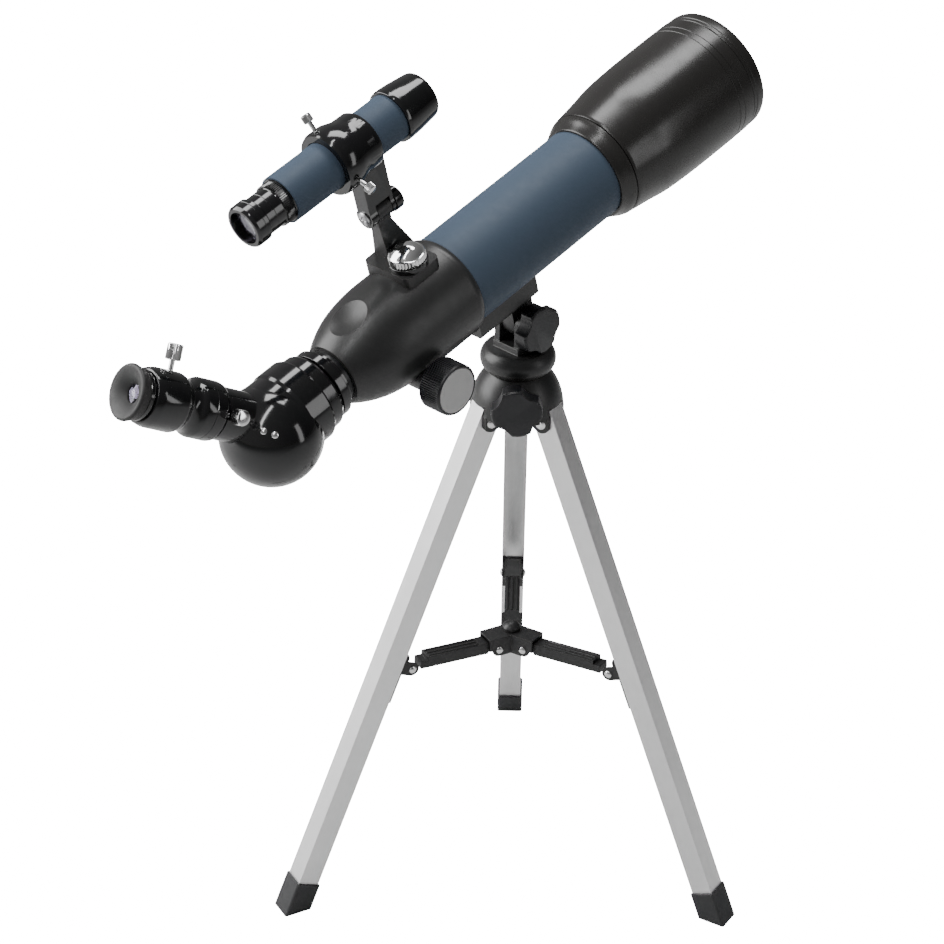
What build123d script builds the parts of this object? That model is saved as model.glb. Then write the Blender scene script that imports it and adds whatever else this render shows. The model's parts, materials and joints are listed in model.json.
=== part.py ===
"""Small refracting telescope on a folding table tripod, one STEP file per piece, in millimetres.

+Z is up and +Y is the way the tube points. The origin is at floor level, under the middle
of the whole object. The tripod axis is the vertical line through the pan head.
"""
from build123d import *
import os
from math import asin, atan2, cos, degrees, hypot, pi, radians, sin

# ---- driving dimensions ----
LEG_WIDTH = 14.0            # square leg tube, outside
LEG_WALL = 1.2
LEG_TILT = 22.4             # from the vertical, legs spread
LEG_FOLD = 15.0             # how far a leg folds in
LEG_PIVOT_RADIUS = 22.0
LEG_PIVOT_HEIGHT = 314.6
LEG_ANGLES = {"rear": 132.5, "left": 252.5, "right": 12.5}
FOOT_WIDTH = 16.6
FOOT_HEIGHT = 20.0

BRACKET_DROP = 166.4        # leg pivot to outer spreader pin, along the leg
BRACKET_REACH = 14.5        # leg centreline to outer spreader pin
SPREADER_PIN_RADIUS = 11.8
SPREADER_DROP = 4.0         # inner pins below the outer pins: locks over centre
ARM_WIDTH = 9.4
ARM_TOP = 5.0
ARM_BOTTOM = 2.6
ARM_RIB = 0.6
EAR_GAP = 10.4
EAR_THICKNESS = 1.5

TILT_AXIS_HEIGHT = 372.0
TUBE_HEIGHT = 433.2         # tube axis where it crosses the tripod axis
TUBE_ALTITUDE = 15.42
TUBE_RADIUS = 28.1
TUBE_WALL = 1.1
PAN_AXLE_RADIUS = 6.0
KNOB_LOBES = 4
KNOB_TIP_RADIUS = 15.0
KNOB_WAIST_RADIUS = 12.2

GEAR_MODULE = 0.8
PINION_TEETH = 14
PINION_STATION = -109.5
PINION_UP = -23.5
RACK_TRAVEL = 32.0
DRAWTUBE_RADIUS = 16.4

BEND_STATION = -202.8       # where the diagonal's two axes meet
BEND_ANGLE = 45.0
DIAGONAL_ROLL = 16.2        # how far the diagonal leans to the left
BALL_RADIUS = 28.8
BALL_OFFSET = 5.0
EYEPIECE_RADIUS = 12.25     # 0.965 inch fitting
LOCK_SCREW_RISE = 36.5

FINDER_UP = 115.0
FINDER_X = -8.0
HINGE_UP = 68.5
FINDER_SCREW_STATION = -112.0
FINDER_SCREW_ANGLES = (-34.0, 112.0, 219.0)

RUN = 0.06                  # radial clearance of a turning or sliding fit
SEAT = 0.02                 # clearance between seated pieces that do not move
UP_FROM_BASE = (Align.CENTER, Align.CENTER, Align.MIN)


# ---- working sizes ----
def leg_geometry(fold):
    """Radius and height of an outer spreader pin with the legs folded in by an angle."""
    tilt = radians(LEG_TILT - fold)
    radius = LEG_PIVOT_RADIUS + BRACKET_DROP * sin(tilt) - BRACKET_REACH * cos(tilt)
    height = LEG_PIVOT_HEIGHT - BRACKET_DROP * cos(tilt) - BRACKET_REACH * sin(tilt)
    return radius, height


OUTER_PIN_RADIUS, OUTER_PIN_HEIGHT = leg_geometry(0)
INNER_PIN_HEIGHT = OUTER_PIN_HEIGHT - SPREADER_DROP
ARM_LENGTH = hypot(OUTER_PIN_RADIUS - SPREADER_PIN_RADIUS, SPREADER_DROP)
ARM_SLOPE = degrees(asin(SPREADER_DROP / ARM_LENGTH))
FOLDED_PIN_RADIUS, FOLDED_PIN_HEIGHT = leg_geometry(LEG_FOLD)
FOLDED_RUN = FOLDED_PIN_RADIUS - SPREADER_PIN_RADIUS
FOLDED_RISE = (ARM_LENGTH ** 2 - FOLDED_RUN ** 2) ** 0.5
HUB_TRAVEL = FOLDED_PIN_HEIGHT + FOLDED_RISE - INNER_PIN_HEIGHT
ARM_TURN = ARM_SLOPE + degrees(atan2(FOLDED_RISE, FOLDED_RUN))
SADDLE_STATION = -(TUBE_HEIGHT - TILT_AXIS_HEIGHT) * sin(radians(TUBE_ALTITUDE))
TILT_AXIS_UP = -(TUBE_HEIGHT - TILT_AXIS_HEIGHT) * cos(radians(TUBE_ALTITUDE))
PITCH_RADIUS = GEAR_MODULE * PINION_TEETH / 2
PAN_LOCK_ANGLE = LEG_ANGLES["right"] - 60

# ---- frames ----
TUBE = Location((0, 0, TUBE_HEIGHT)) * Rotation(TUBE_ALTITUDE - 90, 0, 0)
DIAGONAL = TUBE * Location((0, 0, BEND_STATION)) * Rotation(0, 0, -DIAGONAL_ROLL)
EXIT = DIAGONAL * Rotation(90 + BEND_ANGLE, 0, 0)
FINDER = TUBE * Location((FINDER_X, -FINDER_UP, 0))
HINGE = TUBE * Location((FINDER_X, -HINGE_UP, 0))
PINION = TUBE * Location((0, -PINION_UP, PINION_STATION)) * Rotation(0, 90, 0)
TILT = Location((0, 0, TILT_AXIS_HEIGHT)) * Rotation(0, 90, 0)


def leg_frame(side):
    """At a leg's pivot: x away from the tripod axis, y along the pivot, z up the leg."""
    pivot = Location((LEG_PIVOT_RADIUS, 0, LEG_PIVOT_HEIGHT), (0, -LEG_TILT, 0))
    return Rotation(0, 0, LEG_ANGLES[side]) * pivot


def arm_frame(side):
    """At a spreader arm's inner pin: x out along the arm, y along the pin."""
    pin = Location((SPREADER_PIN_RADIUS, 0, INNER_PIN_HEIGHT), (0, -ARM_SLOPE, 0))
    return Rotation(0, 0, LEG_ANGLES[side]) * pin


# ---- shape helpers ----
def turned(*outline):
    """A closed outline of (radius, height) points turned about Z."""
    return revolve(make_face(Plane.XZ * Polyline(*outline, close=True)), Axis.Z)


def turned_curves(*edges):
    """A closed outline of edges, drawn as (radius, height), turned about Z."""
    return revolve(make_face(Plane.XZ * (Curve() + list(edges))), Axis.Z)


def rod(radius, low, high):
    return Location((0, 0, low)) * Cylinder(radius, high - low, align=UP_FROM_BASE)


def crown(edge_radius, edge_height, crown_height):
    """Arc of a sphere centred on the axis, from an edge to the crown."""
    rise = crown_height - edge_height
    sphere_radius = (edge_radius ** 2 + rise ** 2) / (2 * abs(rise))
    spread = degrees(asin(edge_radius / sphere_radius))
    if rise > 0:
        return CenterArc((0, crown_height - sphere_radius), sphere_radius, 90 - spread, spread)
    return CenterArc((0, crown_height + sphere_radius), sphere_radius, -90, spread)


def ring(outer, inner, low, high):
    return rod(outer, low, high) - rod(inner, low - 1, high + 1)


def block(x, y, z):
    """A box from its low and high limits along each axis."""
    middle = Location(((x[0] + x[1]) / 2, (y[0] + y[1]) / 2, (z[0] + z[1]) / 2))
    return middle * Box(x[1] - x[0], y[1] - y[0], z[1] - z[0])


def cross_rod(radius, low, high):
    """A rod along Y."""
    return Rotation(-90, 0, 0) * rod(radius, low, high)


def side_rod(radius, low, high):
    """A rod along X."""
    return Rotation(0, 90, 0) * rod(radius, low, high)


def star_knob(low, high):
    """A four-lobed clamp knob with hollow sides, its axis along Z."""
    scoop_radius = KNOB_TIP_RADIUS * 0.8
    scoop_centre = KNOB_WAIST_RADIUS + scoop_radius
    knob = rod(KNOB_TIP_RADIUS, low, high)
    knob = chamfer(knob.edges().group_by(Axis.Z)[-1], 1.2)
    for lobe in range(KNOB_LOBES):
        angle = (lobe + 0.5) * 360 / KNOB_LOBES
        scoop = Location((scoop_centre, 0, 0)) * rod(scoop_radius, low - 1, high + 1)
        knob -= Rotation(0, 0, angle) * scoop
    return knob


def thumb_screw(tip, collar, end, shank_radius=1.5, head_radius=4.3):
    """A screw along Z with a plain round head between two heights."""
    shank = rod(shank_radius, tip, collar)
    head = rod(head_radius, collar, end)
    head = chamfer(head.edges().group_by(Axis.Z)[-1], 0.7)
    return shank + head


# ---- tripod ----
def tripod_hub():
    """Bell-shaped head with a pair of lugs and a slot for each leg, bored for the pan axle."""
    top, skirt, base = 341.0, 321.0, 316.5
    outer = turned_curves(
        Line((0, base), (27.8, base)),
        Line((27.8, base), (27.2, skirt)),
        ThreePointArc((27.2, skirt), (24.0, 332.0), (17.8, top)),
        Line((17.8, top), (0, top)),
        Line((0, top), (0, base)),
    )
    hollow = turned((11.0, base - 1), (25.6, base - 1), (25.0, 321.0), (19.0, 334.0), (11.0, 334.0))
    hub = outer - hollow
    for side in LEG_ANGLES:
        turn = Rotation(0, 0, LEG_ANGLES[side])
        pivot = Location((LEG_PIVOT_RADIUS, 0, LEG_PIVOT_HEIGHT))
        for inner_y in (LEG_WIDTH / 2 + 0.5, -LEG_WIDTH / 2 - 3.0):
            lug = block((15, 27), (inner_y, inner_y + 2.5), (LEG_PIVOT_HEIGHT, 326))
            lug += pivot * cross_rod(6.2, inner_y, inner_y + 2.5)
            hub += turn * (lug & outer_limit())
    for side in LEG_ANGLES:
        turn = Rotation(0, 0, LEG_ANGLES[side])
        pivot = Location((LEG_PIVOT_RADIUS, 0, LEG_PIVOT_HEIGHT))
        half = LEG_WIDTH / 2 + 0.5
        slot = pivot * cross_rod(9.7, -half, half)
        slot += block((LEG_PIVOT_RADIUS, 40), (-half, half), (300, 322.3))
        hub -= turn * slot
        hub -= turn * pivot * cross_rod(2.0 + SEAT, -12, 12)
        hub -= turn * pivot * (cross_rod(4.0, 10.0, 14) + cross_rod(4.0, -14, -10.0))
    hub -= rod(PAN_AXLE_RADIUS + RUN, 300, 345)
    lock = Rotation(0, 0, PAN_LOCK_ANGLE) * Location((0, 0, 330)) * side_rod(2.0 + RUN, 4, 40)
    return hub - lock


def outer_limit():
    """The space that the hub's lugs may fill, inside the bell's outline."""
    return turned((0, 300), (28.0, 300), (28.0, 318), (27.0, 321), (19.0, 338), (0, 338))


def leg_screws():
    """Three pivot screws, each with a domed head and a nut."""
    screws = Part()
    for side in LEG_ANGLES:
        screw = cross_rod(2.0, -11.6, 10.0)
        screw += Location((0, 10.0, 0)) * Rotation(-90, 0, 0) * domed_head(3.5, 2.0)
        screw += Location((0, -10.0, 0)) * Rotation(90, 0, 0) * domed_head(3.5, 1.6)
        pivot = Location((LEG_PIVOT_RADIUS, 0, LEG_PIVOT_HEIGHT))
        screws += Rotation(0, 0, LEG_ANGLES[side]) * pivot * screw
    return screws


def domed_head(radius, height):
    """A low domed screw head standing on z = 0."""
    rim = height * 0.3
    return turned_curves(
        Line((0, 0), (radius, 0)),
        Line((radius, 0), (radius, rim)),
        crown(radius, rim, height),
        Line((0, height), (0, 0)),
    )


def leg(side):
    """Square tube from the hub to just above the floor, drilled for its pivot."""
    inside = LEG_WIDTH / 2 - LEG_WALL
    half = LEG_WIDTH / 2
    tube = block((-half, half), (-half, half), (-350, 6))
    tube -= block((-inside, inside), (-inside, inside), (-351, 4.8))
    tube -= cross_rod(2.0 + RUN, -9, 9)
    return leg_frame(side) * tube & block((-300, 300), (-300, 300), (3.0, 400))


def foot(side):
    """Rubber boot, cut flat on the floor."""
    outer, inner = FOOT_WIDTH / 2, LEG_WIDTH / 2
    top = FOOT_HEIGHT - LEG_PIVOT_HEIGHT / cos(radians(LEG_TILT))
    boot = block((-outer, outer), (-outer, outer), (-360, top))
    boot = fillet(boot.edges().filter_by(Axis.Z), 1.6)
    pocket = leg_frame(side) * block((-inner, inner), (-inner, inner), (-360, top + 1))
    pocket &= block((-300, 300), (-300, 300), (3.0, 60))
    floor = block((-300, 300), (-300, 300), (0.0, 60))
    return (leg_frame(side) * boot & floor) - pocket


def leg_bracket(side):
    """Channel bracket on the leg's inner face, its ears either side of the spreader arm."""
    face = -LEG_WIDTH / 2
    inner = EAR_GAP / 2
    outer = inner + EAR_THICKNESS
    bracket = block((face - 1.2, face), (-outer, outer), (-BRACKET_DROP - 24, -BRACKET_DROP + 6))
    bracket += block((face - 0.9, face), (-outer + 2, outer - 2), (-BRACKET_DROP - 28, -BRACKET_DROP - 24))
    pin = Location((-BRACKET_REACH, 0, -BRACKET_DROP))
    for low in (inner, -outer):
        thickness = (low, low + EAR_THICKNESS)
        ear = block((-BRACKET_REACH, face), thickness, (-BRACKET_DROP - 4.4, -BRACKET_DROP + 4.4))
        ear += pin * cross_rod(4.4, low, low + EAR_THICKNESS)
        bracket += ear
    for direction in (90, -90):
        bracket += pin * Rotation(direction, 0, 0) * Location((0, 0, outer)) * domed_head(2.3, 1.1)
    return leg_frame(side) * bracket


def spreader_arm(side):
    """Inverted channel with ribs on its back; its inner end turns on the hub's pins."""
    half = ARM_WIDTH / 2
    inner_end, body_end, outer_end = 6.6, ARM_LENGTH - 11.5, ARM_LENGTH - 7.0
    arm = block((inner_end, body_end), (-half, half), (-ARM_BOTTOM, ARM_TOP))
    arm -= block((inner_end + 2, body_end - 3), (-half + 1.2, half - 1.2), (-ARM_BOTTOM - 1, ARM_TOP - 1.4))
    for rib_y in (-3.0, 0.0, 3.0):
        rib_top = ARM_TOP + ARM_RIB
        arm += block((inner_end + 7, body_end - 1), (rib_y - 0.6, rib_y + 0.6), (ARM_TOP, rib_top))
    arm += block((body_end - 1, outer_end), (-half, half), (-ARM_BOTTOM, ARM_BOTTOM - 0.4))
    tongue = block((0, inner_end + 1), (-3.2, 3.2), (-ARM_BOTTOM, ARM_BOTTOM))
    tongue += cross_rod(ARM_BOTTOM, -3.2, 3.2)
    arm = arm + tongue - cross_rod(1.4 + RUN, -6, 6)
    return arm_frame(side) * arm


def spreader_hub():
    """Three-way hub: a top plate over three pairs of ears, each pair with its own pin."""
    inner = EAR_GAP / 2
    outer = inner + EAR_THICKNESS
    reach, top, plate = 18.5, 8.2, 1.4
    hub = rod(4.2, -4.6, top)
    slots = Part()
    for side in LEG_ANGLES:
        turn = Rotation(0, 0, LEG_ANGLES[side])
        hub += turn * block((0, SPREADER_PIN_RADIUS), (-outer, outer), (-4.6, top))
        hub += turn * block((0, reach), (-outer, outer), (0, top))
        hub += turn * Location((SPREADER_PIN_RADIUS, 0, 0)) * cross_rod(4.6, -outer, outer)
        slots += turn * block((4.6, 30), (-inner, inner), (-6, top - plate))
    hub -= slots
    for side in LEG_ANGLES:
        pin = Rotation(0, 0, LEG_ANGLES[side]) * Location((SPREADER_PIN_RADIUS, 0, 0))
        hub += pin * cross_rod(1.4, -outer, outer)
        for direction in (90, -90):
            hub += pin * Rotation(direction, 0, 0) * Location((0, 0, outer)) * domed_head(2.3, 1.1)
    return Location((0, 0, INNER_PIN_HEIGHT)) * hub


def spreader_knob():
    """Push button on top of the spreader hub."""
    knob = turned_curves(
        Line((0, 0), (5.6, 0)),
        Line((5.6, 0), (5.6, 2.0)),
        crown(5.6, 2.0, 5.4),
        Line((0, 5.4), (0, 0)),
    )
    return Location((0, 0, INNER_PIN_HEIGHT + 8.2)) * knob


# ---- pan head and tilt ----
def pan_head():
    """Rounded barrel that turns on the tripod hub, with a fork for the tilt bolt in one casting."""
    low, high = 341.5, 356.0
    barrel = turned_curves(
        Line((PAN_AXLE_RADIUS + SEAT, low), (18.5, low)),
        ThreePointArc((18.5, low), (22.3, (low + high) / 2), (18.5, high)),
        Line((18.5, high), (PAN_AXLE_RADIUS + SEAT, high)),
        Line((PAN_AXLE_RADIUS + SEAT, high), (PAN_AXLE_RADIUS + SEAT, low)),
    )
    fork = block((-10, 10), (-11, 11), (high - 1, high + 4))
    for side in (5.6, -10.0):
        cheek = block((side, side + 4.4), (-10, 10), (high - 1, TILT_AXIS_HEIGHT))
        cheek += Location((0, 0, TILT_AXIS_HEIGHT)) * side_rod(10, side, side + 4.4)
        fork += cheek
    fork -= rod(PAN_AXLE_RADIUS + SEAT, low, high)
    return barrel + fork - Location((0, 0, TILT_AXIS_HEIGHT)) * side_rod(3.0 + SEAT, -12, 12)


def pan_axle():
    """Axle through the hub, with a retaining nut below it."""
    return rod(PAN_AXLE_RADIUS, 315.5, 356.0) + rod(9.2, 313.0, 316.1)


def tilt_bolt():
    """Bolt through the yoke and the saddle's lug, with a hexagonal head on the left."""
    bolt = rod(3.0, -10.0, 16.5)
    head = Location((0, 0, -14.0)) * extrude(RegularPolygon(5.6, 6), 4.0)
    return TILT * (bolt + head)


def tilt_knob():
    """Clamp knob on the right-hand end of the tilt bolt."""
    knob = Rotation(0, 0, 19) * star_knob(10.5, 19.5)
    return TILT * (knob - rod(3.0 + RUN, 9, 17.0))


def pan_lock_knob():
    """Clamp knob and screw that presses on the pan axle."""
    knob = star_knob(28.4, 38.0) + rod(4.2, 26.8, 29.0) + rod(2.0, 6.5, 27.0)
    return pan_lock_frame() * knob


def pan_lock_frame():
    return Rotation(0, 0, PAN_LOCK_ANGLE) * Location((0, 0, 330)) * Rotation(0, 90, 0) * Rotation(0, 0, 13)


# ---- telescope tube ----
def saddle():
    """Cradle under the tube with a lug for the tilt bolt."""
    cradle = block((-12.5, 12.5), (22, 40), (SADDLE_STATION - 40, SADDLE_STATION + 8.5))
    cradle = fillet(cradle.edges().filter_by(Axis.Z).group_by(Axis.Y)[-1], 2.5)
    cradle -= rod(TUBE_RADIUS + SEAT, SADDLE_STATION - 45, SADDLE_STATION + 15)
    lug = block((-5.2, 5.2), (36, -TILT_AXIS_UP), (SADDLE_STATION - 8.5, SADDLE_STATION + 8.5))
    lug += Location((0, -TILT_AXIS_UP, SADDLE_STATION)) * side_rod(8.5, -5.2, 5.2)
    lug -= Location((0, -TILT_AXIS_UP, SADDLE_STATION)) * side_rod(3.0 + RUN, -6, 6)
    body = cradle + lug
    for station in saddle_screw_stations():
        body -= Location((0, 0, station)) * cross_rod(1.5 + SEAT, 20, 36)
    return TUBE * body


def saddle_screw_stations():
    return SADDLE_STATION - 34.0, SADDLE_STATION - 15.0


def saddle_screws():
    """Two screws from inside the tube into the saddle."""
    screws = Part()
    for station in saddle_screw_stations():
        screw = cross_rod(1.5, 26.0, 35.5) + cross_rod(2.9, 24.8, 26.8)
        screws += Location((0, 0, station)) * screw
    return TUBE * screws


def main_tube():
    tube = ring(TUBE_RADIUS, TUBE_RADIUS - TUBE_WALL, -74, 72)
    for station in saddle_screw_stations():
        tube -= Location((0, 0, station)) * cross_rod(1.5 + SEAT, 20, 36)
    return TUBE * tube


def rear_body():
    """Rounded shell that holds the tube, guides the drawtube and carries the pinion."""
    shell = turned_curves(
        Line((0, -154.5), (18.4, -154.5)),
        Spline((18.4, -154.5), (23.6, -145.5), (27.7, -134.5), (30.2, -121), (31.0, -104),
               tangents=((0.6, 0.8), (0, 1))),
        Line((31.0, -104), (31.0, -69.0)),
        ThreePointArc((31.0, -69.0), (30.3, -64.8), (28.9, -63.0)),
        Line((28.9, -63.0), (0, -63.0)),
        Line((0, -63.0), (0, -154.5)),
    )
    boss = Location((0, -PINION_UP, PINION_STATION)) * side_rod(8.6, -28, 28)
    cavity = turned((0, -150), (DRAWTUBE_RADIUS + 1.2, -146), (26.5, -122), (28.6, -118), (28.6, -100),
                    (27.6, -74.2), (0, -74.2))
    body = shell + boss
    body -= cavity
    body -= rod(TUBE_RADIUS + SEAT, -74.2, -50)
    body -= rod(DRAWTUBE_RADIUS + RUN, -160, -140)
    body -= Location((0, -PINION_UP, PINION_STATION)) * side_rod(7.4, -7, 7)
    body -= Location((0, -PINION_UP, PINION_STATION)) * side_rod(2.5 + RUN, -30, 30)
    body -= Location((0, -63.0, -145.5)) * Sphere(40)
    body -= Location((4.5, -31, -89)) * cross_rod(3.0 + SEAT, -8, 8)
    return TUBE * body


def dew_ring():
    """Flared ring behind the dew shield."""
    inner = TUBE_RADIUS + SEAT
    flare = turned((inner, 54), (29.6, 54), (31.0, 57.5), (33.4, 63.4), (inner, 63.4))
    return TUBE * flare


def dew_shield():
    """Flared hood in front of the objective."""
    inner = TUBE_RADIUS + SEAT
    hood = turned_curves(
        Line((inner, 63.9), (33.6, 63.9)),
        Spline((33.6, 63.9), (35.6, 80), (37.6, 94), (38.6, 115), tangents=((0.13, 1), (0, 1))),
        Line((38.6, 115), (38.9, 150)),
        Line((38.9, 150), (38.7, 163)),
        Line((38.7, 163), (36.7, 163)),
        Line((36.7, 163), (36.2, 112)),
        Line((36.2, 112), (31.3, 90)),
        Line((31.3, 90), (31.3, 72.0)),
        Line((31.3, 72.0), (inner, 72.0)),
        Line((inner, 72.0), (inner, 63.9)),
    )
    return TUBE * hood


def dew_front_ring():
    """Rounded rim on the mouth of the dew shield."""
    rim = turned_curves(
        Line((35.0, 158), (36.5, 158)),
        Line((36.5, 158), (36.5, 163.4)),
        Line((36.5, 163.4), (38.5, 163.4)),
        Line((38.5, 163.4), (38.3, 170.8)),
        ThreePointArc((38.3, 170.8), (37.5, 172.8), (35.8, 173.6)),
        Line((35.8, 173.6), (35.0, 173.6)),
        Line((35.0, 173.6), (35.0, 158)),
    )
    return TUBE * rim


def lens_cell():
    """Stepped cell that plugs into the tube and seats the objective."""
    cell = turned((24.6, 64), (26.9, 64), (26.9, 72.2), (31.1, 72.2), (31.1, 88), (26.2, 88),
                  (26.2, 76.0), (24.6, 76.0))
    return TUBE * cell


def retaining_ring():
    return TUBE * ring(26.15, 24.3, 82.5, 86.0)


def objective_lenses():
    """Flint and crown elements of the objective, with a thin air gap between them."""
    flint = turned_curves(
        Line((0, 76.2), (26, 76.2)),
        Line((26, 76.2), (26, 80)),
        crown(26, 80, 77.8),
        Line((0, 77.8), (0, 76.2)),
    )
    front_lens = turned_curves(
        crown(26, 80.2, 78.0),
        Line((26, 80.2), (26, 82.2)),
        crown(26, 82.2, 84.4),
        Line((0, 84.4), (0, 78.0)),
    )
    return TUBE * (Part() + [flint, front_lens])


# ---- focuser ----
def drawtube():
    return TUBE * ring(DRAWTUBE_RADIUS, 15.0, -166.5, -76)


def drawtube_collar():
    """Stepped trim on the rear end of the drawtube."""
    inner = DRAWTUBE_RADIUS + SEAT
    trim = turned((inner, -166.5), (20.5, -166.5), (20.5, -161.2), (17.8, -161.2), (17.8, -158),
                  (inner, -158))
    return TUBE * trim


def rack():
    """Toothed strip under the drawtube, in mesh with the pinion at the tube's closed position."""
    pitch = pi * GEAR_MODULE
    pitch_line = -(PINION_UP + PITCH_RADIUS)
    root, tip = pitch_line - 1.0, pitch_line + 0.8 * GEAR_MODULE
    teeth = 14
    first = PINION_STATION - 0.5 * pitch
    strip = block((-2.5, 2.5), (DRAWTUBE_RADIUS + SEAT, root), (first - 1.0, first + (teeth - 0.5) * pitch))
    for tooth in range(teeth):
        station = first + tooth * pitch
        profile = Polyline((root - 0.05, station - 0.85), (tip, station - 0.3), (tip, station + 0.3),
                           (root - 0.05, station + 0.85), close=True)
        face = make_face(Plane.YZ * profile)
        strip += extrude(face, 2.5, both=True)
    return TUBE * strip


def pinion_shaft():
    """Focus shaft with its pinion cut in one piece."""
    root, tip = PITCH_RADIUS - 1.0, PITCH_RADIUS + 0.8 * GEAR_MODULE
    shaft = rod(2.5, -44.0, 44.0) + rod(root, -4.0, 4.0)
    for tooth in range(PINION_TEETH):
        profile = Polyline((root - 0.3, -0.8), (tip, -0.28), (tip, 0.28), (root - 0.3, 0.8), close=True)
        wedge = Location((0, 0, -4)) * extrude(make_face(profile), 8.0)
        shaft += Rotation(0, 0, 90 + tooth * 360 / PINION_TEETH) * wedge
    return PINION * shaft


def focus_knobs():
    """A pair of knobs on the focus shaft, each recessed for its disc."""
    knobs = Part()
    for turn in (0, 180):
        knob = rod(15.0, 30.9, 46.6)
        knob = fillet(knob.edges().group_by(Axis.Z)[-1], 1.2)
        knob -= rod(13.3, 45.6, 47.6)
        knob -= rod(2.5 + SEAT, 30.0, 44.2)
        knobs += Rotation(turn, 0, 0) * knob
    return PINION * knobs


def knob_discs():
    discs = Part()
    for turn in (0, 180):
        discs += Rotation(turn, 0, 0) * rod(13.2, 45.62, 46.9)
    return PINION * discs


# ---- diagonal and eyepiece ----
def diagonal_housing():
    """Ball-shaped elbow with a flanged spigot for the drawtube and a sleeve for the eyepiece tube."""
    bisector = radians(BEND_ANGLE / 2)
    ball_centre = Location((0, BALL_OFFSET * cos(bisector), -BALL_OFFSET * sin(bisector)))
    bend = Rotation(90 + BEND_ANGLE, 0, 0)
    flange = turned((0, 0), (24.2, 0), (24.2, 9.0), (24.9, 11.0), (24.9, 24.0), (24.3, 25.2), (22.7, 25.8),
                    (22.5, 32.6), (21.6, 34.2), (0, 34.2))
    body = ball_centre * Sphere(BALL_RADIUS) + flange + rod(14.94, 30, 53)
    body += bend * rod(14.4, 0, 39.5)
    body -= ball_centre * Sphere(BALL_RADIUS - 2.6) & rod(40, -40, 20)
    body -= rod(11.6, 0, 60)
    body -= bend * rod(12.9 + SEAT, 10, 45)
    body -= bend * Location((0, 0, LOCK_SCREW_RISE)) * side_rod(1.5 + RUN, 10, 20)
    for aim in diagonal_screw_aims():
        body -= ball_centre * aim * rod(1.2 + SEAT, 20, 30)
    return DIAGONAL * body


def diagonal_screw_aims():
    """The way each of the ball's two screws points, from the ball's centre."""
    return Rotation(0, 0, -37.0) * Rotation(0, 120.0, 0), Rotation(0, 0, -25.0) * Rotation(0, 113.5, 0)


def diagonal_screws():
    """Two small screws in the right-hand side of the ball."""
    bisector = radians(BEND_ANGLE / 2)
    ball_centre = Location((0, BALL_OFFSET * cos(bisector), -BALL_OFFSET * sin(bisector)))
    screws = Part()
    screw = rod(1.2, BALL_RADIUS - 4, BALL_RADIUS) + Location((0, 0, BALL_RADIUS)) * domed_head(1.9, 0.9)
    for aim in diagonal_screw_aims():
        screws += ball_centre * aim * screw
    return DIAGONAL * screws


def diagonal_mirror():
    """Flat mirror on a pedestal in the outer corner of the bend."""
    glass = rod(13.5, 0, 2.0)
    pedestal = rod(9.0, 2.0, 29.4)
    return DIAGONAL * Rotation(-90 - BEND_ANGLE / 2, 0, 0) * (glass + pedestal)


def eyepiece_tube():
    """Collared tube from the diagonal's sleeve to the eyepiece."""
    tube = turned((EYEPIECE_RADIUS + RUN, 42), (11.4, 42), (11.4, 16), (12.9, 16), (12.9, 39.8), (15.6, 39.8),
                  (16.3, 42.0), (16.3, 54.0), (14.4, 57.0), (13.8, 61.5), (15.4, 64.0), (16.2, 67.0),
                  (16.2, 81.5), (14.9, 86.4), (EYEPIECE_RADIUS + RUN, 86.4))
    tube -= Location((0, 0, 72)) * cross_rod(1.5 + RUN, 8, 20)
    return EXIT * tube


def eyepiece_lock_screw():
    """Thumb screw on the front of the eyepiece tube."""
    screw = Rotation(-90, 0, 0) * thumb_screw(12.9, 21.5, 30.5)
    return EXIT * Location((0, 0, 72)) * screw


def diagonal_lock_screw():
    """Thumb screw on the right of the diagonal's sleeve."""
    screw = Rotation(0, 90, 0) * thumb_screw(13.2, 16.8, 24.5, head_radius=4.3)
    return EXIT * Location((0, 0, LOCK_SCREW_RISE)) * screw


def eyepiece_barrel():
    barrel = turned((10.6, 62), (EYEPIECE_RADIUS, 62), (EYEPIECE_RADIUS, 87), (13.2, 87), (13.2, 90),
                    (10.6, 90))
    return EXIT * barrel


def eyecup():
    """Flared rubber cup round the eye lens."""
    cup = turned_curves(
        Line((5.2, 90.05), (13.8, 90.05)),
        Line((13.8, 90.05), (15.4, 94.8)),
        ThreePointArc((15.4, 94.8), (15.0, 96.2), (13.6, 96.6)),
        ThreePointArc((13.6, 96.6), (8.5, 94.4), (5.2, 91.6)),
        Line((5.2, 91.6), (5.2, 90.05)),
    )
    return EXIT * cup


def eyepiece_lenses():
    """Field lens and eye lens."""
    field = turned_curves(
        Line((0, 64), (10.5, 64)),
        Line((10.5, 64), (10.5, 65.4)),
        crown(10.5, 65.4, 67.4),
        Line((0, 67.4), (0, 64)),
    )
    eye = turned_curves(
        Line((0, 90.1), (5.1, 90.1)),
        Line((5.1, 90.1), (5.1, 90.9)),
        crown(5.1, 90.9, 91.8),
        Line((0, 91.8), (0, 90.1)),
    )
    return EXIT * (Part() + [field, eye])


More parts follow.
